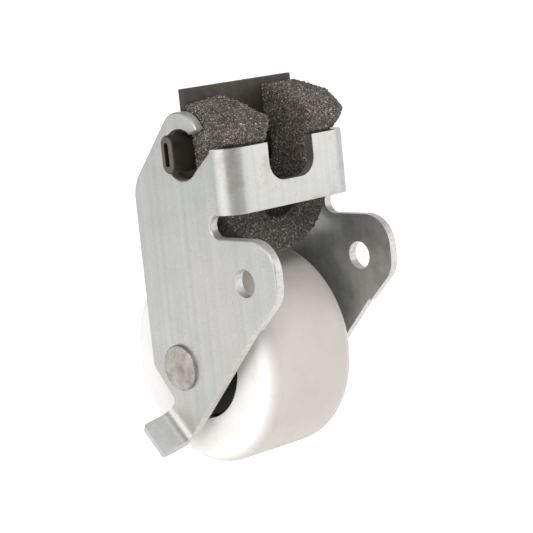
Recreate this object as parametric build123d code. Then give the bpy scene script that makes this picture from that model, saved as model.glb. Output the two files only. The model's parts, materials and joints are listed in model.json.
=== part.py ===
from build123d import *
import math
import os

# Cabinet roller: a stamped steel bracket that carries a wheel on a riveted axle, with a
# black moulded trunnion plate in two open hooks and a strip of foam folded behind the strap.
# Millimetres, +Z up. The origin is on the pivot bore's axis, midway between the two ears.
# X runs across the part, -Y is the strap side (front), the wheel is low at the back.

# Bracket
BRACKET_WIDTH = 35.0
SHEET = 2.0
EDGE_ROLL = 0.35
SHORTEST_ROLL = 1.0
PIVOT_HOLE_RADIUS = 2.95
EAR_FRONT = -9.3
EAR_TOP = 8.9
EAR_CORNER = 6.6
EAR_LOWER_CORNER = 6.0
EAR_LOW = -2.95
SHEAR_NICK = (-2.1, -9.65)
SHEAR_STEP = 0.5
REAR_EDGE = 32.2
REAR_LOW = -19.6
REAR_HIGH = 19.5
REAR_HIGH_CORNER = 8.0
REAR_LOW_CORNER = 3.0

# Strap across the front
STRAP_FRONT = 1.3
STRAP_BOTTOM = 13.65
STRAP_TOP = 27.1
STRAP_BEND = 4.6
STRAP_RETURN = 5.0
STRAP_NOTCH_WIDTH = 12.6
STRAP_NOTCH_DEPTH = 8.2
STRAP_NOTCH_CORNER = 4.0
SLOT_END_RADIUS = (STRAP_BOTTOM - EAR_TOP) / 2
SLOT_END = 8.9
SLOT_LENGTH = 12.0

# Hook that holds each trunnion peg
HOOK_CENTRE = (15.6, 28.75)
HOOK_RADIUS = 6.1
PEG_NOTCH_CENTRE = (15.85, 26.0)
PEG_NOTCH_RADIUS = 5.3
LIP_TIP = (10.0, 31.15)
LIP_ROOT = (12.6, 30.15)
MOUTH_LOW = (13.4, 21.35)

# Tab at the foot of each side plate
TAB_WIDTH = 8.6
TAB_BEND_START = 33.25
TAB_BEND_ANGLE = 70.0
TAB_BEND_RADIUS = 3.0
TAB_FLAT = 4.55
TAB_CORNER = 1.45
TAB_CORNER_SETBACK = 1.3
TAB_END_CORNER = 0.6

# Wheel and axle
AXLE = (22.8, -19.15)
WHEEL_RADIUS = 22.25
WHEEL_WIDTH = 25.4
RIM_ROUND = 4.0
HUB_RECESS_RADIUS = 12.1
HUB_RECESS_DEPTH = 3.2
AXLE_RADIUS = 3.5
AXLE_HEAD_RADIUS = 4.9
AXLE_HEAD_HEIGHT = 0.8
AXLE_UPSET_RADIUS = 4.6
AXLE_UPSET_HEIGHT = 1.1
RUNNING_GAP = 0.06
BUSH_RADIUS = 6.0
BUSH_LENGTH = 9.0
BUSH_FLANGE_RADIUS = 11.7
BUSH_FLANGE = 2.4
BUSH_COLLAR_RADIUS = 5.6
SIDE_GAP = 0.25

# Trunnion: upright fin, cross bar, two pegs with cheeks behind the side plates, and a screw boss
TRUNNION_AXIS = (15.9, 26.5)
TRUNNION_WIDTH = 30.4
FIN_FRONT = 15.2
FIN_THICKNESS = 2.0
FIN_BOTTOM = 14.0
FIN_TOP = 39.3
FIN_EDGE = 0.5
PEG_THICKNESS = 3.8
PEG_HEIGHT = 8.0
PEG_REACH = 3.4
PEG_CORE = (1.3, 5.0)
PEG_CORE_DEPTH = 1.0
PEG_ROUND = 0.55
CHEEK_RADIUS = 6.0
CHEEK_THICKNESS = 1.5
CHEEK_FRONT = 14.4
BOSS_RADIUS = 4.8
BOSS_FRONT = 12.6
BOSS_BACK = 19.6
SCREW_RADIUS = 2.6

# Foam strip folded into a U
FOAM_WIDTH = 30.4
FOAM_FRONT = 3.6
FOAM_BACK = 13.4
FOAM_ARM = 9.4
FOAM_BOTTOM = 3.6
FOAM_FOLD = 6.4
FOAM_TOP_BACK = 38.0
FOAM_TOP_FRONT = 33.0
FOAM_CORNER = 3.2

HALF_WIDTH = BRACKET_WIDTH / 2
INNER_HALF = HALF_WIDTH - SHEET


def unit(start, end):
    """Unit vector from one (Y, Z) point to another."""
    dy = end[0] - start[0]
    dz = end[1] - start[1]
    length = math.hypot(dy, dz)
    return dy / length, dz / length


def moved(point, direction, distance):
    """The point a distance along a direction, in (Y, Z)."""
    return point[0] + direction[0] * distance, point[1] + direction[1] * distance


# The slanted lower edge runs from the nick to the foot, and the tab continues along it.
SLANT = unit(SHEAR_NICK, (19.2, -31.95))
ACROSS = (-SLANT[1], SLANT[0])
FOOT_LOW = moved(SHEAR_NICK, SLANT, TAB_BEND_START)
FOOT_HIGH = moved(FOOT_LOW, ACROSS, TAB_WIDTH)
FOOT_INNER = moved(FOOT_HIGH, SLANT, -TAB_CORNER_SETBACK)


def rounded(sketch, corner, radius):
    """The sketch with the corner nearest to a point rounded."""
    vertex = sketch.vertices().sort_by_distance((corner[0], corner[1], 0))[0]
    return fillet(vertex, radius)


def side_outline():
    """One side plate's outline, with Y as the first coordinate and Z as the second."""
    nick_back = moved(SHEAR_NICK, ACROSS, SHEAR_STEP)
    foot_low = moved(FOOT_LOW, ACROSS, SHEAR_STEP)
    hook_side = unit((REAR_EDGE, REAR_HIGH), (21.5, 31.25))
    tangent = (HOOK_CENTRE[0] + HOOK_RADIUS * hook_side[1], HOOK_CENTRE[1] - HOOK_RADIUS * hook_side[0])
    strap_side = STRAP_FRONT + STRAP_RETURN
    corners = [
        (strap_side, STRAP_TOP),
        (strap_side, EAR_TOP),
        (EAR_FRONT, EAR_TOP),
        (EAR_FRONT, EAR_LOW),
        SHEAR_NICK,
        nick_back,
        foot_low,
        FOOT_HIGH,
        FOOT_INNER,
        (REAR_EDGE, REAR_LOW),
        (REAR_EDGE, REAR_HIGH),
        tangent,
        HOOK_CENTRE,
        MOUTH_LOW,
    ]
    outline = make_face(Polyline(*corners, close=True))
    outline = rounded(outline, (EAR_FRONT, EAR_TOP), EAR_CORNER)
    outline = rounded(outline, (EAR_FRONT, EAR_LOW), EAR_LOWER_CORNER)
    outline = rounded(outline, FOOT_INNER, TAB_CORNER)
    outline = rounded(outline, (REAR_EDGE, REAR_LOW), REAR_LOW_CORNER)
    outline = rounded(outline, (REAR_EDGE, REAR_HIGH), REAR_HIGH_CORNER)
    outline += Pos(*HOOK_CENTRE) * Circle(HOOK_RADIUS)
    mouth_front = moved(LIP_TIP, unit(LIP_ROOT, LIP_TIP), 1.5)
    mouth = make_face(Polyline(mouth_front, LIP_ROOT, PEG_NOTCH_CENTRE, MOUTH_LOW,
                               (strap_side, STRAP_TOP), (strap_side, LIP_TIP[1]), close=True))
    outline -= mouth
    outline -= Pos(*PEG_NOTCH_CENTRE) * Circle(PEG_NOTCH_RADIUS)
    slot_middle = (STRAP_BOTTOM + EAR_TOP) / 2
    slot = SlotOverall(SLOT_LENGTH, 2 * SLOT_END_RADIUS)
    outline -= Pos(SLOT_END - SLOT_LENGTH / 2, slot_middle) * slot
    return outline


def tab(side):
    """The foot tab of one side plate, bent outward; side is -1 for left and 1 for right."""
    angle = math.radians(TAB_BEND_ANGLE)
    inner = TAB_BEND_RADIUS
    outer = TAB_BEND_RADIUS + SHEET
    inner_end = (inner * math.sin(angle), inner - inner * math.cos(angle))
    outer_end = (outer * math.sin(angle), inner - outer * math.cos(angle))
    inner_middle = (inner * math.sin(angle / 2), inner - inner * math.cos(angle / 2))
    outer_middle = (outer * math.sin(angle / 2), inner - outer * math.cos(angle / 2))
    along = (math.cos(angle), math.sin(angle))
    inner_tip = moved(inner_end, along, TAB_FLAT)
    outer_tip = moved(outer_end, along, TAB_FLAT)
    edges = [
        Line((-1.0, -SHEET), (-1.0, 0)),
        Line((-1.0, 0), (0, 0)),
        ThreePointArc((0, 0), inner_middle, inner_end),
        Line(inner_end, inner_tip),
        Line(inner_tip, outer_tip),
        Line(outer_tip, outer_end),
        ThreePointArc(outer_end, outer_middle, (0, -SHEET)),
        Line((0, -SHEET), (-1.0, -SHEET)),
    ]
    section = make_face(Wire(edges))
    middle = moved(moved(FOOT_LOW, ACROSS, SHEAR_STEP), ACROSS, (TAB_WIDTH - SHEAR_STEP) / 2)
    plane = Plane(origin=(side * HALF_WIDTH, middle[0], middle[1]),
                  x_dir=(0, SLANT[0], SLANT[1]),
                  z_dir=Vector(0, SLANT[0], SLANT[1]).cross(Vector(side, 0, 0)))
    strip = extrude(plane * section, amount=(TAB_WIDTH - SHEAR_STEP) / 2, both=True)
    tip = strip.faces().sort_by(Axis.X)[0 if side < 0 else -1]
    short_edges = tip.edges().sort_by(SortBy.LENGTH)[:2]
    return fillet(short_edges, TAB_END_CORNER)


def strap():
    """The front strap with its two bends and the notch for the screw."""
    depth = STRAP_RETURN + 0.3
    outer = Pos(0, STRAP_FRONT + depth / 2) * Rectangle(BRACKET_WIDTH, depth)
    outer = fillet(outer.vertices().group_by(Axis.Y)[0], STRAP_BEND)
    inner = Pos(0, STRAP_FRONT + SHEET + depth / 2) * Rectangle(2 * INNER_HALF, depth)
    inner = fillet(inner.vertices().group_by(Axis.Y)[0], STRAP_BEND - SHEET)
    band = extrude(Pos(0, 0, STRAP_BOTTOM) * (outer - inner), STRAP_TOP - STRAP_BOTTOM)
    notch = Pos(0, STRAP_TOP) * Rectangle(STRAP_NOTCH_WIDTH, 2 * STRAP_NOTCH_DEPTH)
    notch = fillet(notch.vertices().group_by(Axis.Y)[0], STRAP_NOTCH_CORNER)
    return band - extrude(Plane.XZ * notch, amount=10, both=True)


def side_plate(side):
    """One side plate with its holes and rolled outer edges."""
    outline = side_outline()
    outline -= Circle(PIVOT_HOLE_RADIUS)
    outline -= Pos(*AXLE) * Circle(AXLE_RADIUS)
    plate = extrude(Plane.YZ * outline, SHEET / 2, both=True)
    outer = plate.faces().sort_by(Axis.X)[-1 if side > 0 else 0]
    rim = [edge for edge in outer.outer_wire().edges() if edge.length > SHORTEST_ROLL]
    rolled = [edge for edge in rim if not touches_strap(edge) and not touches_foot(edge)]
    plate = fillet(rolled, EDGE_ROLL)
    return Pos(side * (HALF_WIDTH - SHEET / 2), 0, 0) * plate


def touches_strap(edge):
    """True for the outline's edge where the plate runs into the strap."""
    middle = edge.center()
    return abs(middle.Y - STRAP_FRONT - STRAP_RETURN) < 0.2 and middle.Z > STRAP_BOTTOM


def touches_foot(edge):
    """True for the outline's edge where the plate runs into the tab."""
    middle = edge.center()
    reach = (middle.Y - SHEAR_NICK[0]) * SLANT[0] + (middle.Z - SHEAR_NICK[1]) * SLANT[1]
    return abs(reach - TAB_BEND_START) < 0.2


def bracket():
    """The whole stamping: two side plates, the strap and the two foot tabs."""
    shell = strap()
    for side in (-1, 1):
        shell += side_plate(side)
        shell += tab(side)
    return shell


def turned(profile):
    """A solid of revolution about the wheel axle from (X, radius) sketch geometry."""
    solid = revolve(profile, Axis.X)
    return Pos(0, *AXLE) * solid


def wheel():
    """The white wheel: rounded rim, a hub recess on each side and a through bore."""
    half = WHEEL_WIDTH / 2
    rim = Pos(0, WHEEL_RADIUS / 2) * Rectangle(WHEEL_WIDTH, WHEEL_RADIUS)
    rim = fillet(rim.vertices().group_by(Axis.Y)[-1], RIM_ROUND)
    rim -= Pos(0, BUSH_RADIUS / 2) * Rectangle(WHEEL_WIDTH, BUSH_RADIUS)
    for side in (-1, 1):
        recess = Pos(side * (half - HUB_RECESS_DEPTH / 2), HUB_RECESS_RADIUS / 2)
        rim -= recess * Rectangle(HUB_RECESS_DEPTH, HUB_RECESS_RADIUS)
    return turned(rim)


def bushing(side):
    """A flanged bushing pressed into one side of the wheel, with a collar for the plate."""
    seat = WHEEL_WIDTH / 2 - HUB_RECESS_DEPTH
    bore = AXLE_RADIUS + RUNNING_GAP
    collar_end = INNER_HALF - SIDE_GAP
    sleeve = Pos(seat - BUSH_LENGTH / 2, (BUSH_RADIUS + bore) / 2)
    sleeve = sleeve * Rectangle(BUSH_LENGTH, BUSH_RADIUS - bore)
    flange = Pos(seat + BUSH_FLANGE / 2, (BUSH_FLANGE_RADIUS + bore) / 2)
    flange = flange * Rectangle(BUSH_FLANGE, BUSH_FLANGE_RADIUS - bore)
    collar = Pos((seat + collar_end) / 2, (BUSH_COLLAR_RADIUS + bore) / 2)
    collar = collar * Rectangle(collar_end - seat, BUSH_COLLAR_RADIUS - bore)
    profile = sleeve + flange + collar
    profile = rounded(profile, (seat + BUSH_FLANGE, BUSH_FLANGE_RADIUS), 0.6)
    profile = rounded(profile, (collar_end, BUSH_COLLAR_RADIUS), 0.5)
    if side < 0:
        profile = mirror(profile, Plane.YZ)
    return turned(profile)


def axle():
    """The axle rivet: flat head at the left plate, upset end at the right plate."""
    shank = Pos(0, AXLE_RADIUS / 2) * Rectangle(BRACKET_WIDTH, AXLE_RADIUS)
    head = Pos(-HALF_WIDTH - AXLE_HEAD_HEIGHT / 2, AXLE_HEAD_RADIUS / 2)
    head = head * Rectangle(AXLE_HEAD_HEIGHT, AXLE_HEAD_RADIUS)
    head = rounded(head, (-HALF_WIDTH - AXLE_HEAD_HEIGHT, AXLE_HEAD_RADIUS), 0.3)
    upset = Pos(HALF_WIDTH + AXLE_UPSET_HEIGHT / 2, AXLE_UPSET_RADIUS / 2)
    upset = upset * Rectangle(AXLE_UPSET_HEIGHT, AXLE_UPSET_RADIUS)
    upset = rounded(upset, (HALF_WIDTH + AXLE_UPSET_HEIGHT, AXLE_UPSET_RADIUS), 0.8)
    return turned(shank + head + upset)


def cheek(side):
    """The round cheek at the root of one peg, cut off flat where the foam begins."""
    disc = Pos(*TRUNNION_AXIS) * Circle(CHEEK_RADIUS)
    cut_depth = CHEEK_FRONT - TRUNNION_AXIS[0] + CHEEK_RADIUS
    front = Pos(CHEEK_FRONT - cut_depth / 2, TRUNNION_AXIS[1])
    disc -= front * Rectangle(cut_depth, 2 * CHEEK_RADIUS)
    plate = extrude(Plane.YZ * disc, CHEEK_THICKNESS / 2, both=True)
    return Pos(side * (TRUNNION_WIDTH - CHEEK_THICKNESS) / 2, 0, 0) * plate


def trunnion():
    """The black moulding: upright fin, cross bar with two pegs and cheeks, and the screw boss."""
    fin_height = FIN_TOP - FIN_BOTTOM
    fin_place = Pos(0, FIN_FRONT + FIN_THICKNESS / 2, (FIN_TOP + FIN_BOTTOM) / 2)
    fin = fin_place * Box(TRUNNION_WIDTH, FIN_THICKNESS, fin_height)
    fin = fillet(fin.edges().filter_by(Axis.X) + fin.edges().filter_by(Axis.Z), FIN_EDGE)
    peg_section = SlotOverall(PEG_HEIGHT, PEG_THICKNESS, rotation=90)
    length = BRACKET_WIDTH + 2 * PEG_REACH
    bar = extrude(Plane.YZ * Pos(*TRUNNION_AXIS) * peg_section, length / 2, both=True)
    bar = fillet(bar.faces().filter_by(Axis.X).edges(), PEG_ROUND)
    boss_length = BOSS_BACK - BOSS_FRONT
    boss_place = Pos(0, (BOSS_FRONT + BOSS_BACK) / 2, TRUNNION_AXIS[1]) * Rot(90, 0, 0)
    boss = boss_place * Cylinder(BOSS_RADIUS, boss_length)
    moulding = fin + bar + boss + cheek(-1) + cheek(1)
    moulding -= boss_place * Cylinder(SCREW_RADIUS, boss_length + 2)
    core_section = SlotOverall(PEG_CORE[1], PEG_CORE[0], rotation=90)
    core = extrude(Plane.YZ * Pos(*TRUNNION_AXIS) * core_section, PEG_CORE_DEPTH)
    moulding -= Pos(length / 2 - PEG_CORE_DEPTH, 0, 0) * core
    moulding -= Pos(-length / 2, 0, 0) * core
    return moulding


def foam_pad():
    """The foam strip folded into a U, open at the top, with its top sloping to the front."""
    half = FOAM_WIDTH / 2
    fold = Pos(0, FOAM_BOTTOM + half) * Circle(half)
    arms = Pos(0, (FOAM_BOTTOM + half + FOAM_TOP_BACK) / 2)
    arms = arms * Rectangle(FOAM_WIDTH, FOAM_TOP_BACK - FOAM_BOTTOM - half)
    gap_half = half - FOAM_ARM
    gap_bottom = FOAM_BOTTOM + FOAM_FOLD
    gap = Pos(0, gap_bottom + gap_half) * Circle(gap_half)
    gap += Pos(0, (gap_bottom + gap_half + FOAM_TOP_BACK) / 2) * Rectangle(
        2 * gap_half, FOAM_TOP_BACK - gap_bottom - gap_half)
    depth = FOAM_BACK - FOAM_FRONT
    middle = (FOAM_BACK + FOAM_FRONT) / 2
    pad = extrude(Plane.XZ.offset(-middle) * (fold + arms - gap), depth / 2, both=True)
    wedge = make_face(Polyline((FOAM_FRONT, FOAM_TOP_FRONT), (FOAM_BACK, FOAM_TOP_BACK),
                               (FOAM_BACK, FOAM_TOP_BACK + 2), (FOAM_FRONT, FOAM_TOP_BACK + 2), close=True))
    pad -= extrude(Plane.YZ * wedge, FOAM_WIDTH, both=True)
    footprint = Pos(0, middle) * Rectangle(FOAM_WIDTH, depth)
    footprint = fillet(footprint.vertices().group_by(Axis.Y)[0], FOAM_CORNER)
    return pad & extrude(footprint, FOAM_TOP_BACK)


PARTS = {
    "bracket": bracket(),
    "wheel": wheel(),
    "hub_bushing_left": bushing(-1),
    "hub_bushing_right": bushing(1),
    "axle_rivet": axle(),
    "trunnion": trunnion(),
    "foam_pad": foam_pad(),
}

os.makedirs("parts", exist_ok=True)
for name, solid in PARTS.items():
    export_step(solid, f"parts/{name}.step")
    print(name, len(solid.solids()), round(solid.volume, 1))
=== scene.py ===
import json
import math

import bpy
import numpy as np
from mathutils import Matrix, Vector


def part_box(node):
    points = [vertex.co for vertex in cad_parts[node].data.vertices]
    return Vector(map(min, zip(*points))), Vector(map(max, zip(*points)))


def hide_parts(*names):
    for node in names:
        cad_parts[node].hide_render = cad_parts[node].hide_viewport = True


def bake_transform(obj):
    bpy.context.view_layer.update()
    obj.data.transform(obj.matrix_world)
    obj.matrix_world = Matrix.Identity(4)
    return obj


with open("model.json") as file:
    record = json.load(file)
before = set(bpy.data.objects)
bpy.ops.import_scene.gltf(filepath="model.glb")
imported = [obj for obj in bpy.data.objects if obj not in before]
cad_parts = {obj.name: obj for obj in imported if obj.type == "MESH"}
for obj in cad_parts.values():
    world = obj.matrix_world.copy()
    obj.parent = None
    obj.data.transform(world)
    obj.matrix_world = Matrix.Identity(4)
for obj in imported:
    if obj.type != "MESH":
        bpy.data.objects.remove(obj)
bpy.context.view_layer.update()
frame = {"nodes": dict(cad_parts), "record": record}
MM = 0.001

# Sizes of the bracket that no mount or box gives
SHEET = 2.0 * MM
STRAP_RETURN = 5.0 * MM
STRAP_BOTTOM = 13.65 * MM
SLACK = 0.05 * MM

# Where things are, from the frame
mounts = {mount["name"]: mount for mount in frame["record"]["mounts"]}
plate_outside = mounts["pivot_bore"]["dims"]["length_mm"] / 2 * MM
plate_inside = plate_outside - SHEET
strap_back = mounts["strap_seat"]["pos_m"][1] + STRAP_RETURN
axle = Vector(frame["record"]["behaviour"]["joints"][0]["pos_m"])
wheel_low, wheel_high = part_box("wheel")
wheel_radius = (wheel_high[2] - wheel_low[2]) / 2
floor_height = wheel_low[2]


# ---------------------------------------------------------------- camera
VIEW_AZIMUTH = -42.04
VIEW_ELEVATION = 8.87
VIEW_ROLL = 5.93
VIEW_DISTANCE = 421.7 * MM
VIEW_AIM = Vector((6.98, 20.15, -1.83)) * MM
LENS = 131.35


def make_camera():
    """The camera, turned a little about its own axis as the object leans in the view."""
    azimuth, elevation = math.radians(VIEW_AZIMUTH), math.radians(VIEW_ELEVATION)
    right = Vector((math.cos(azimuth), math.sin(azimuth), 0))
    back = Vector((math.sin(azimuth) * math.cos(elevation), -math.cos(azimuth) * math.cos(elevation),
                   math.sin(elevation)))
    up = back.cross(right)
    turn = math.radians(VIEW_ROLL)
    right_turned = right * math.cos(turn) - up * math.sin(turn)
    up_turned = right * math.sin(turn) + up * math.cos(turn)
    camera = bpy.data.objects.new("camera", bpy.data.cameras.new("camera"))
    bpy.context.scene.collection.objects.link(camera)
    camera.data.sensor_width = 36
    camera.data.lens = LENS
    camera.data.clip_start = 0.02
    camera.data.clip_end = 60
    rotation = Matrix((right_turned, up_turned, back)).transposed().to_4x4()
    camera.matrix_world = Matrix.Translation(VIEW_AIM + back * VIEW_DISTANCE) @ rotation
    bpy.context.scene.camera = camera


# ---------------------------------------------------------------- lights and floor
def area_light(name, place, size, power):
    """A soft white light that faces the object."""
    data = bpy.data.lights.new(name, "AREA")
    data.shape = "RECTANGLE"
    data.size, data.size_y = size
    data.energy = power
    light = bpy.data.objects.new(name, data)
    bpy.context.scene.collection.objects.link(light)
    light.location = place
    light.rotation_euler = (Vector((0, 0.01, 0)) - light.location).to_track_quat("-Z", "Y").to_euler()


def make_world():
    world = bpy.data.worlds.new("studio")
    world.use_nodes = True
    background = world.node_tree.nodes["Background"]
    background.inputs["Color"].default_value = (1.0, 1.0, 1.0, 1)
    background.inputs["Strength"].default_value = 0.30
    bpy.context.scene.world = world
    bpy.context.scene.view_settings.view_transform = "Standard"


def make_stage():
    """A pale floor that curves up into a backdrop behind the object."""
    near, reach, bend, steps = -0.26, 2.2, 0.6, 16
    profile = [(near, 0.0)]
    for i in range(steps + 1):
        angle = math.pi / 2 * i / steps
        profile.append((reach + bend * math.sin(angle), bend - bend * math.cos(angle)))
    profile.append((reach + bend, 3.0))
    turn = Matrix.Rotation(math.radians(VIEW_AZIMUTH), 3, "Z")
    vertices = []
    for side in (-4.0, 4.0):
        for along, height in profile:
            place = turn @ Vector((side, along, 0))
            vertices.append((place.x, place.y, floor_height + height))
    count = len(profile)
    faces = [(i, i + 1, count + i + 1, count + i) for i in range(count - 1)]
    mesh = bpy.data.meshes.new("floor")
    mesh.from_pydata(vertices, [], faces)
    mesh.shade_smooth()
    floor = bpy.data.objects.new("floor", mesh)
    bpy.context.scene.collection.objects.link(floor)
    nodes = Nodes("floor")
    nodes.set(Base_Color=(0.80, 0.80, 0.80, 1), Roughness=0.8)
    nodes.set(Emission_Color=(1, 1, 1, 1), Emission_Strength=0.62)
    floor.data.materials.append(nodes.material)


def make_lights():
    area_light("key_left", (-0.86, 0.10, 0.18), (1.00, 0.6), 4.1)
    area_light("front_right", (0.60, -0.70, 0.25), (0.5, 0.6), 2.15)
    area_light("fill_high", (-0.42, -0.62, 0.62), (0.5, 0.5), 3.8)
    area_light("top", (0.10, -0.30, 0.92), (0.7, 0.7), 2.0)


# ---------------------------------------------------------------- materials
RING_RATE = 9000.0
STAKED_RADIUS = 1.6 * MM
PEG_SHOWS_FROM = 17.0 * MM
# The fin's painted light grows towards this height
FIN_LIGHT_HEIGHT = 40 * MM
# Height over which the foam's painted shade fades out
SHADE_FADE_HEIGHT = 30 * MM


class Nodes:
    """A material's node tree with short ways to add nodes."""

    def __init__(self, name):
        self.material = bpy.data.materials.new(name)
        self.material.use_nodes = True
        self.tree = self.material.node_tree
        self.shader = self.tree.nodes["Principled BSDF"]
        self.place = self.tree.nodes.new("ShaderNodeTexCoord").outputs["Object"]

    def add(self, kind, **values):
        node = self.tree.nodes.new(kind)
        for key, value in values.items():
            setattr(node, key, value)
        return node

    def link(self, source, target):
        self.tree.links.new(source, target)

    def mapped(self, scale):
        """Object coordinates, in metres, stretched by a scale along each axis."""
        node = self.add("ShaderNodeMapping")
        node.inputs["Scale"].default_value = scale
        self.link(self.place, node.inputs["Vector"])
        return node.outputs["Vector"]

    def noise(self, scale, detail=4.0, stretch=(1, 1, 1), roughness=0.55):
        node = self.add("ShaderNodeTexNoise")
        node.inputs["Scale"].default_value = scale
        node.inputs["Detail"].default_value = detail
        node.inputs["Roughness"].default_value = roughness
        self.link(self.mapped(stretch), node.inputs["Vector"])
        return node.outputs["Fac"]

    def voronoi(self, scale, feature="F1"):
        node = self.add("ShaderNodeTexVoronoi", feature=feature)
        node.inputs["Scale"].default_value = scale
        self.link(self.place, node.inputs["Vector"])
        return node.outputs["Distance"]

    def ramp(self, source, stops):
        """A colour ramp through (position, colour) stops; a colour may be one grey number."""
        node = self.add("ShaderNodeValToRGB")
        elements = node.color_ramp.elements
        while len(elements) < len(stops):
            elements.new(0.5)
        for element, (position, colour) in zip(elements, stops):
            element.position = position
            grey = (colour,) * 3 if isinstance(colour, (int, float)) else colour
            element.color = (*grey, 1)
        self.link(source, node.inputs["Fac"])
        return node.outputs["Color"]

    def mix(self, factor, first, second, blend="MIX"):
        node = self.add("ShaderNodeMix", data_type="RGBA", blend_type=blend)
        for socket, value in (("Factor", factor), ("A", first), ("B", second)):
            target = next(s for s in node.inputs if s.name == socket and s.enabled)
            if isinstance(value, bpy.types.NodeSocket):
                self.link(value, target)
            elif socket == "Factor":
                target.default_value = value
            else:
                target.default_value = (*value, 1)
        return next(s for s in node.outputs if s.enabled)

    def math(self, operation, first, second=0.0):
        node = self.add("ShaderNodeMath", operation=operation)
        for socket, value in zip(node.inputs, (first, second)):
            if isinstance(value, bpy.types.NodeSocket):
                self.link(value, socket)
            else:
                socket.default_value = value
        return node.outputs["Value"]

    def bump(self, height, strength, distance, under=None):
        node = self.add("ShaderNodeBump")
        node.inputs["Strength"].default_value = strength
        node.inputs["Distance"].default_value = distance
        self.link(height, node.inputs["Height"])
        if under is not None:
            self.link(under, node.inputs["Normal"])
        return node.outputs["Normal"]

    def axes(self, vector):
        """The three parts of a vector socket."""
        node = self.add("ShaderNodeSeparateXYZ")
        self.link(vector, node.inputs["Vector"])
        return node.outputs["X"], node.outputs["Y"], node.outputs["Z"]

    def normal(self):
        """The face's own normal in object space, before any bump."""
        turned = self.add("ShaderNodeVectorTransform", vector_type="NORMAL")
        turned.convert_from, turned.convert_to = "WORLD", "OBJECT"
        self.link(self.add("ShaderNodeNewGeometry").outputs["True Normal"], turned.inputs["Vector"])
        return turned.outputs["Vector"]

    def set(self, **values):
        """Sets or links the shader's sockets; underscores stand for spaces."""
        for key, value in values.items():
            socket = self.shader.inputs[key.replace("_", " ")]
            if isinstance(value, bpy.types.NodeSocket):
                self.link(value, socket)
            else:
                socket.default_value = value


def axle_distance(nodes):
    """Distance from the axle's line."""
    y, z = nodes.axes(nodes.place)[1:]
    out_y = nodes.math("SUBTRACT", y, axle.y)
    out_z = nodes.math("SUBTRACT", z, axle.z)
    squares = nodes.math("ADD", nodes.math("MULTIPLY", out_y, out_y), nodes.math("MULTIPLY", out_z, out_z))
    return nodes.math("SQRT", squares)


def strap_mask(nodes):
    """A mask for the strap, which joins the side plates across the front."""
    y, z = nodes.axes(nodes.place)[1:]
    above = nodes.math("GREATER_THAN", z, STRAP_BOTTOM + SLACK)
    before = nodes.math("LESS_THAN", y, strap_back + SLACK)
    return nodes.math("MULTIPLY", above, before)


def cut_edges(nodes):
    """A mask for the sheared edges of the side plates, which miss the strap's face and the tabs."""
    nx = nodes.axes(nodes.normal())[0]
    x = nodes.axes(nodes.place)[0]
    sideways = nodes.math("LESS_THAN", nodes.math("ABSOLUTE", nx), 0.45)
    on_plate = nodes.math("LESS_THAN", nodes.math("ABSOLUTE", x), plate_outside + SLACK)
    not_strap = nodes.math("SUBTRACT", 1.0, strap_mask(nodes))
    return nodes.math("MULTIPLY", nodes.math("MULTIPLY", sideways, on_plate), not_strap)


def handling_marks(nodes, base):
    """Brown stains on the strap and dark scuffs inside the side plates, where the noise puts them."""
    x = nodes.axes(nodes.place)[0]
    strap = strap_mask(nodes)
    inside = nodes.math("LESS_THAN", nodes.math("ABSOLUTE", x), plate_inside + SLACK)
    inner_face = nodes.math("MULTIPLY", inside, nodes.math("SUBTRACT", 1.0, strap))
    stains = nodes.ramp(nodes.noise(190, 6, roughness=0.7), [(0.53, 0.0), (0.63, 0.36)])
    scuffs = nodes.ramp(nodes.noise(150, 5, roughness=0.65), [(0.49, 0.0), (0.60, 0.42)])
    base = nodes.mix(nodes.math("MULTIPLY", stains, strap), base, (0.30, 0.24, 0.19))
    return nodes.mix(nodes.math("MULTIPLY", scuffs, inner_face), base, (0.22, 0.22, 0.21))


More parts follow.
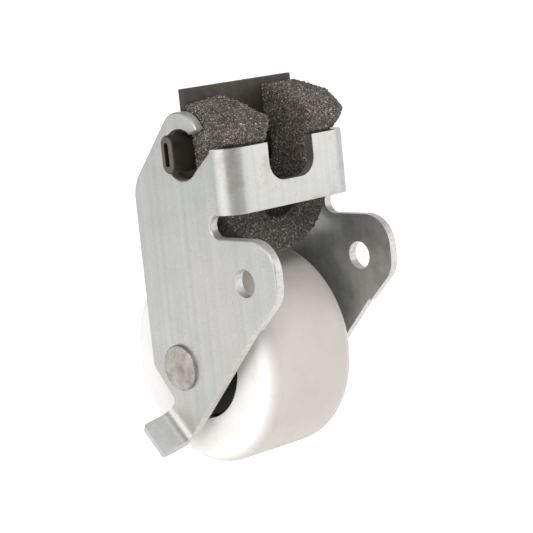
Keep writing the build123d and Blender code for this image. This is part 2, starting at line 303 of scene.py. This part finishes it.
def zinc_material():
    """Zinc-plated rolled sheet: faint upright lines, cloudy plating, stains and scuffs, torn cut edges."""
    nodes = Nodes("zinc_plate")
    lines = nodes.noise(750, 4, stretch=(1, 1, 0.018))
    cloud = nodes.noise(130, 6)
    broad = nodes.noise(45, 4)
    speckle = nodes.noise(2300, 3)
    pits = nodes.noise(1700, 2)
    base = nodes.ramp(cloud, [(0.30, (0.350, 0.350, 0.336)), (0.70, (0.475, 0.471, 0.451))])
    line_colour = nodes.ramp(lines, [(0.35, (0.315, 0.313, 0.301)), (0.65, (0.490, 0.487, 0.468))])
    broad_colour = nodes.ramp(broad, [(0.38, (0.44, 0.475, 0.485)), (0.62, (0.53, 0.515, 0.485))])
    speckle_colour = nodes.ramp(speckle, [(0.40, (0.34, 0.34, 0.33)), (0.62, (0.68, 0.68, 0.67))])
    base = nodes.mix(0.45, base, line_colour)
    base = nodes.mix(0.30, base, broad_colour)
    base = nodes.mix(0.08, base, speckle_colour)
    pit_mask = nodes.ramp(pits, [(0.66, 0.0), (0.72, 0.65)])
    base = nodes.mix(pit_mask, base, (0.30, 0.29, 0.27))
    base = handling_marks(nodes, base)
    edges = cut_edges(nodes)
    torn = nodes.noise(1300, 5, stretch=(0.5, 1, 1))
    torn_colour = nodes.ramp(torn, [(0.3, (0.50, 0.475, 0.445)), (0.65, (0.68, 0.67, 0.65))])
    base = nodes.mix(nodes.math("MULTIPLY", edges, 0.75), base, torn_colour)
    rough = nodes.ramp(cloud, [(0.25, 0.27), (0.75, 0.37)])
    rough = nodes.mix(0.3, rough, nodes.ramp(lines, [(0.3, 0.28), (0.7, 0.46)]))
    rough = nodes.mix(edges, rough, (0.50, 0.50, 0.50))
    normal = nodes.bump(lines, 0.10, 0.00004)
    x = nodes.axes(nodes.place)[0]
    towards_bend = nodes.math("DIVIDE", nodes.math("ABSOLUTE", x), plate_outside)
    near_bend = nodes.ramp(towards_bend, [(0.62, 0.0), (0.88, 1.0)])
    stretched = nodes.math("MULTIPLY", strap_mask(nodes), near_bend)
    peel = nodes.math("ADD", 1.0, nodes.math("MULTIPLY", stretched, 5.0))
    normal = nodes.bump(nodes.math("MULTIPLY", speckle, peel), 0.07, 0.00004, under=normal)
    normal = nodes.bump(cloud, 0.10, 0.0002, under=normal)
    normal = nodes.bump(nodes.math("MULTIPLY", torn, edges), 0.35, 0.0002, under=normal)
    nodes.set(Base_Color=base, Metallic=0.80, Roughness=rough, Normal=normal)
    return nodes.material


def rivet_material():
    """Plated rivet head, duller and warmer than the sheet, with turned rings and a staked middle."""
    nodes = Nodes("rivet_steel")
    radius = axle_distance(nodes)
    rings = nodes.math("SINE", nodes.math("MULTIPLY", radius, RING_RATE))
    cloud = nodes.noise(520, 6)
    marks = nodes.noise(900, 4)
    base = nodes.ramp(cloud, [(0.3, (0.26, 0.238, 0.210)), (0.7, (0.46, 0.437, 0.398))])
    middle = nodes.ramp(nodes.math("DIVIDE", radius, STAKED_RADIUS), [(0.25, 0.55), (1.0, 0.0)])
    base = nodes.mix(middle, base, (0.22, 0.19, 0.16))
    base = nodes.mix(nodes.ramp(marks, [(0.62, 0.0), (0.72, 0.5)]), base, (0.66, 0.63, 0.58))
    rough = nodes.ramp(marks, [(0.3, 0.36), (0.7, 0.56)])
    normal = nodes.bump(marks, 0.40, 0.0002)
    normal = nodes.bump(rings, 0.10, 0.00005, under=normal)
    nodes.set(Base_Color=base, Metallic=0.9, Roughness=rough, Normal=normal)
    return nodes.material


def nylon_material():
    """Off-white moulded nylon: clean on the faces; around the tread a greyer beige that is partly wear and
    partly painted shade, for the tread facing away from the key light.
    """
    nodes = Nodes("white_nylon")
    radius = nodes.math("DIVIDE", axle_distance(nodes), wheel_radius)
    cloud = nodes.noise(90, 5)
    scuffs = nodes.noise(420, 5, stretch=(0.25, 1, 1))
    grain = nodes.noise(1500, 3)
    face = nodes.ramp(cloud, [(0.3, (0.72, 0.71, 0.685)), (0.7, (0.78, 0.77, 0.75))])
    # The tread's colour is partly wear and partly painted shade: darker than the faces to stand in for the
    # lesser light on it
    worn_and_shaded_tread = nodes.ramp(cloud, [(0.3, (0.455, 0.418, 0.378)), (0.7, (0.52, 0.486, 0.442))])
    base = nodes.mix(nodes.ramp(radius, [(0.925, 0.0), (0.997, 1.0)]), face, worn_and_shaded_tread)
    scuff_mask = nodes.ramp(scuffs, [(0.60, 0.0), (0.78, 0.30)])
    base = nodes.mix(scuff_mask, base, (0.52, 0.475, 0.42))
    rough = nodes.ramp(scuffs, [(0.3, 0.36), (0.7, 0.50)])
    normal = nodes.bump(scuffs, 0.08, 0.0001)
    normal = nodes.bump(grain, 0.05, 0.00005, under=normal)
    nodes.set(Base_Color=base, Roughness=rough, Normal=normal, Subsurface_Weight=0.12,
              Subsurface_Radius=(0.004, 0.003, 0.002), Subsurface_Scale=0.5)
    return nodes.material


def black_plastic_material(name, tint, lit_colour):
    """Black moulded plastic with a moulded grain, and a paler, browner painted light on the peg's end face,
    which faces the key light, and towards the fin's top, with the lower fin left darker as painted shade by
    the foam.
    """
    nodes = Nodes(name)
    grain = nodes.noise(1600, 3)
    cloud = nodes.noise(260, 5)
    flow = nodes.noise(500, 4, stretch=(1, 0.3, 1))
    dark = tuple(channel * 0.6 for channel in tint)
    base = nodes.ramp(cloud, [(0.3, dark), (0.7, tint)])
    # Painted light: the peg's outward end face and the fin's upper part are mixed towards the paler, browner
    # lit colour, mottled by the flow noise
    nx = nodes.axes(nodes.normal())[0]
    x, _, z = nodes.axes(nodes.place)
    end_face = nodes.ramp(nodes.math("ABSOLUTE", nx), [(0.55, 0.0), (0.95, 1.0)])
    outside = nodes.math("GREATER_THAN", nodes.math("ABSOLUTE", x), PEG_SHOWS_FROM)
    lit_peg_end = nodes.math("MULTIPLY", end_face, outside)
    lit_fin_top = nodes.ramp(nodes.math("DIVIDE", z, FIN_LIGHT_HEIGHT), [(0.74, 0.0), (0.97, 0.50)])
    lit_places = nodes.math("MAXIMUM", lit_peg_end, lit_fin_top)
    painted_light = nodes.math("MULTIPLY", lit_places, nodes.ramp(flow, [(0.3, 0.55), (0.65, 1.0)]))
    base = nodes.mix(painted_light, base, lit_colour)
    rough = nodes.ramp(cloud, [(0.3, 0.36), (0.7, 0.56)])
    normal = nodes.bump(grain, 0.18, 0.0001)
    normal = nodes.bump(flow, 0.20, 0.0002, under=normal)
    nodes.set(Base_Color=base, Roughness=rough, Normal=normal, Specular_IOR_Level=0.20)
    return nodes.material


def foam_material():
    """Charcoal open-cell foam: brownish struts with the pores between them painted dark as shade in the
    cells, specks painted near white as glints, and painted shade darkening it towards the bottom.
    """
    nodes = Nodes("foam")
    pores = nodes.voronoi(2500, feature="DISTANCE_TO_EDGE")
    grit = nodes.noise(2400, 2, roughness=0.6)
    patches = nodes.noise(240, 3)
    # The struts keep the foam's brownish charcoal; the middles of the cells are painted near black as shade
    # in the open pores
    struts_and_shaded_pores = nodes.ramp(pores, [(0.05, (0.235, 0.198, 0.168)), (0.26, (0.014, 0.012, 0.010))])
    grain_stops = [(0.47, (0.008, 0.007, 0.006)), (0.60, (0.29, 0.245, 0.210)), (0.70, (0.88, 0.84, 0.79))]
    grains = nodes.ramp(grit, grain_stops)
    base = nodes.mix(0.50, struts_and_shaded_pores, grains)
    base = nodes.mix(nodes.ramp(patches, [(0.38, 0.35), (0.60, 0.0)]), base, (0.020, 0.017, 0.015))
    # Painted glints: scattered specks are painted near white to stand in for light glinting off cell windows
    specks = nodes.ramp(nodes.voronoi(2050), [(0.17, 1.0), (0.32, 0.0)])
    chosen = nodes.ramp(nodes.noise(1500, 2), [(0.47, 0.0), (0.58, 1.0)])
    painted_glint_mask = nodes.mix(1.0, specks, chosen, "MULTIPLY")
    painted_glint_colour = nodes.ramp(nodes.noise(1100, 2), [(0.38, (0.32, 0.30, 0.28)), (0.60, (0.97, 0.97, 0.96))])
    base = nodes.mix(painted_glint_mask, base, painted_glint_colour)
    # Painted shade: the foam is darkened towards the bottom, where it sits down inside the bracket
    z = nodes.axes(nodes.place)[2]
    painted_shade_low = nodes.ramp(nodes.math("DIVIDE", z, SHADE_FADE_HEIGHT), [(0.40, 0.45), (0.75, 0.0)])
    base = nodes.mix(painted_shade_low, base, (0.012, 0.010, 0.009))
    rough = nodes.ramp(painted_glint_mask, [(0.0, 0.80), (1.0, 0.22)])
    normal = nodes.bump(pores, 0.9, 0.0004)
    normal = nodes.bump(grit, 0.8, 0.0003, under=normal)
    nodes.set(Base_Color=base, Roughness=rough, Normal=normal)
    return nodes.material


def paint(node, material):
    """Gives a CAD node a material in every slot."""
    mesh = frame["nodes"][node].data
    mesh.materials.clear()
    mesh.materials.append(material)


# ---------------------------------------------------------------- foam strip
# Millimetres. A pair is the stretch over which a change of shape comes in.
FOAM_STEP = 0.26
STRIP_DEPTH = 12
ARM_INNER = 5.9
ARM_THICK = 9.3
ARM_TOP = 36.0
FOLD_THICK = 7.0
FOLD_BOTTOM = 3.5
FOLD_SETBACK = 3.6
SPRING_OUT = 1.6
LEAN = 1.3
STRAP_INNER = 3.35
FIN_FACE = 15.15
BULGE = 2.2
CORNER_ROUND = 2.2
BAR_DENT = 1.25
FREE_OF_STRAP = (27.0, 27.9)
LEANS_FORWARD = (27.9, 32.0)
BELOW_STRAP = (11.0, 17.5)
NEAR_CORNER = (10.5, 15.3)
DENT_STARTS = (20.5, 23.0)
DENT_ENDS = (30.0, 32.5)
SPILL_STARTS = (27.4, 30.2)
SPILL_ENDS = (7.0, 9.8)
HALF_WIDTH = ARM_INNER + ARM_THICK

# Front height, rise to the back and crown of each arm's cut top
LEFT_TOP = (31.4, 4.7, 0.5)
RIGHT_TOP = (31.6, 6.3, 1.7)
LEFT_TILT = 0.10


def smooth_step(low, high, value):
    t = np.clip((value - low) / (high - low), 0, 1)
    return t * t * (3 - 2 * t)


def foam_front(x, z):
    """How far forward the strip's front face stands at a height: held by the strap, free above and below."""
    free = smooth_step(*FREE_OF_STRAP, z)
    above = SPRING_OUT * free + LEAN * smooth_step(*LEANS_FORWARD, z)
    below = FOLD_SETBACK * (1 - smooth_step(*BELOW_STRAP, z))
    corner = smooth_step(*NEAR_CORNER, np.abs(x))
    return STRAP_INNER - above * (1 - 0.35 * corner) + below + CORNER_ROUND * (1 - 0.5 * free) * corner ** 2


def foam_back(z):
    """The back face: against the fin, dented by the cross bar."""
    dent = smooth_step(*DENT_STARTS, z) * (1 - smooth_step(*DENT_ENDS, z))
    return FIN_FACE - BAR_DENT * dent


def arm_top(top, depth):
    """Height of one arm's top; depth is 0 at the front and 1 at the back."""
    height, rise, crown = top
    return height + rise * depth + crown * np.sin(math.pi * depth)


def foam_top(x, depth):
    """The cut tops of both arms, which slope to the front; the left one also tilts outwards."""
    left = arm_top(LEFT_TOP, depth) + LEFT_TILT * (x + HALF_WIDTH)
    return np.where(x < 0, left, arm_top(RIGHT_TOP, depth))


def foam_swell(side, depth_mm, z):
    """How far the right arm spills out over the top edge of its side plate, in front of the hook."""
    spill = smooth_step(*SPILL_STARTS, z) * (1 - smooth_step(*SPILL_ENDS, depth_mm))
    return np.where(side > 0, BULGE * spill, 0.25 * BULGE * spill)


def foam_surface():
    """Vertices and quads of the folded strip, as a grid wrapped over a long block."""
    arm_low = FOLD_BOTTOM + HALF_WIDTH
    arm_length = ARM_TOP - arm_low
    fold_length = math.pi * (ARM_INNER + ARM_THICK / 2)
    total = 2 * arm_length + fold_length
    count_s = int(total / FOAM_STEP)
    count_n = int(ARM_THICK / FOAM_STEP)
    count_y = int(STRIP_DEPTH / FOAM_STEP)

    def place(s, n, y):
        """A block point (0..1 along the strip, across its thickness and through its depth) in the part."""
        run = s * total
        side = np.where(run < total / 2, -1.0, 1.0)
        from_top = np.minimum(run, total - run)
        in_arm = from_top < arm_length
        angle = np.clip((from_top - arm_length) / (fold_length / 2), 0, 1) * math.pi / 2
        thick = ARM_THICK + (FOLD_THICK - ARM_THICK) * smooth_step(0, 1, angle / (math.pi / 2))
        radius = HALF_WIDTH - thick * (1 - n)
        x = np.where(in_arm, side * (HALF_WIDTH - ARM_THICK * (1 - n)), side * radius * np.cos(angle))
        z_arm = arm_low + (1 - from_top / arm_length) * (foam_top(x, y) - arm_low)
        z = np.where(in_arm, z_arm, arm_low - radius * np.sin(angle))
        front = foam_front(x, z)
        depth = front + y * (foam_back(z) - front)
        x = x + side * n * foam_swell(side, depth, z)
        return np.stack([x, depth, z], -1)

    points, quads = [], []

    def patch(fixed, value, count_a, count_b, flip):
        """One face of the block, as a grid of points and quads."""
        a, b = np.meshgrid(np.linspace(0, 1, count_a + 1), np.linspace(0, 1, count_b + 1), indexing="ij")
        c = np.full_like(a, value)
        block = {"s": (c, a, b), "n": (a, c, b), "y": (a, b, c)}[fixed]
        grid = place(*block).reshape(-1, 3)
        start = sum(len(p) for p in points)
        points.append(grid)
        first = start + np.arange(count_a)[:, None] * (count_b + 1) + np.arange(count_b)
        quad = np.stack([first, first + 1, first + count_b + 2, first + count_b + 1], -1).reshape(-1, 4)
        quads.append(quad[:, ::-1] if flip else quad)

    patch("s", 0.0, count_n, count_y, False)
    patch("s", 1.0, count_n, count_y, True)
    patch("n", 0.0, count_s, count_y, True)
    patch("n", 1.0, count_s, count_y, False)
    patch("y", 0.0, count_s, count_n, False)
    patch("y", 1.0, count_s, count_n, True)
    return np.concatenate(points), np.concatenate(quads)


def make_foam():
    """The foam strip with soft cut corners and an open-cell surface in the mesh itself."""
    points, quads = foam_surface()
    mesh = bpy.data.meshes.new("foam_strip")
    mesh.from_pydata(points * MM, [], quads)
    foam = bpy.data.objects.new("foam_strip", mesh)
    bpy.context.scene.collection.objects.link(foam)
    weld = foam.modifiers.new("weld", "WELD")
    weld.merge_threshold = 0.00002
    soften = foam.modifiers.new("soften", "SMOOTH")
    soften.iterations = 14
    soften.factor = 0.5
    apply_modifiers(foam)
    roughen(foam)
    foam.data.shade_smooth()
    foam.data.materials.append(foam_material())
    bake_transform(foam)
    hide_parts("foam_pad")


def roughen(foam):
    """Moves each vertex a little in or out, so that the outline shows torn cells."""
    mesh = foam.data
    count = len(mesh.vertices)
    random = np.random.default_rng(7)
    place = np.empty(count * 3)
    normal = np.empty(count * 3)
    mesh.vertices.foreach_get("co", place)
    mesh.vertices.foreach_get("normal", normal)
    place, normal = place.reshape(-1, 3), normal.reshape(-1, 3)
    swell = np.zeros(count)
    waves = 14
    for _ in range(waves):
        wave = random.normal(size=3) * 0.45
        swell += np.sin(place / MM @ wave + random.uniform(0, 2 * math.pi)) / waves
    grit = random.normal(size=count) * 0.07
    torn = np.where(random.random(count) < 0.16, random.uniform(0.08, 0.30, count), 0)
    move = (0.40 * swell + grit + torn) * MM
    mesh.vertices.foreach_set("co", (place + normal * move[:, None]).ravel())
    mesh.update()


def apply_modifiers(piece):
    """Replaces a piece's mesh with what its modifiers make of it."""
    graph = bpy.context.evaluated_depsgraph_get()
    result = bpy.data.meshes.new_from_object(piece.evaluated_get(graph))
    piece.modifiers.clear()
    piece.data = result


make_camera()
make_world()
make_stage()
make_lights()
paint("bracket", zinc_material())
paint("wheel", nylon_material())
# The last colour is the painted-light colour
bushing_material = black_plastic_material("black_acetal", (0.028, 0.028, 0.025), (0.034, 0.033, 0.030))
paint("hub_bushing_left", bushing_material)
paint("hub_bushing_right", bushing_material)
paint("axle_rivet", rivet_material())
# The last colour is painted light, for the trunnion's peg end and fin top
paint("trunnion", black_plastic_material("black_nylon", (0.026, 0.021, 0.016), (0.122, 0.108, 0.090)))
make_foam()
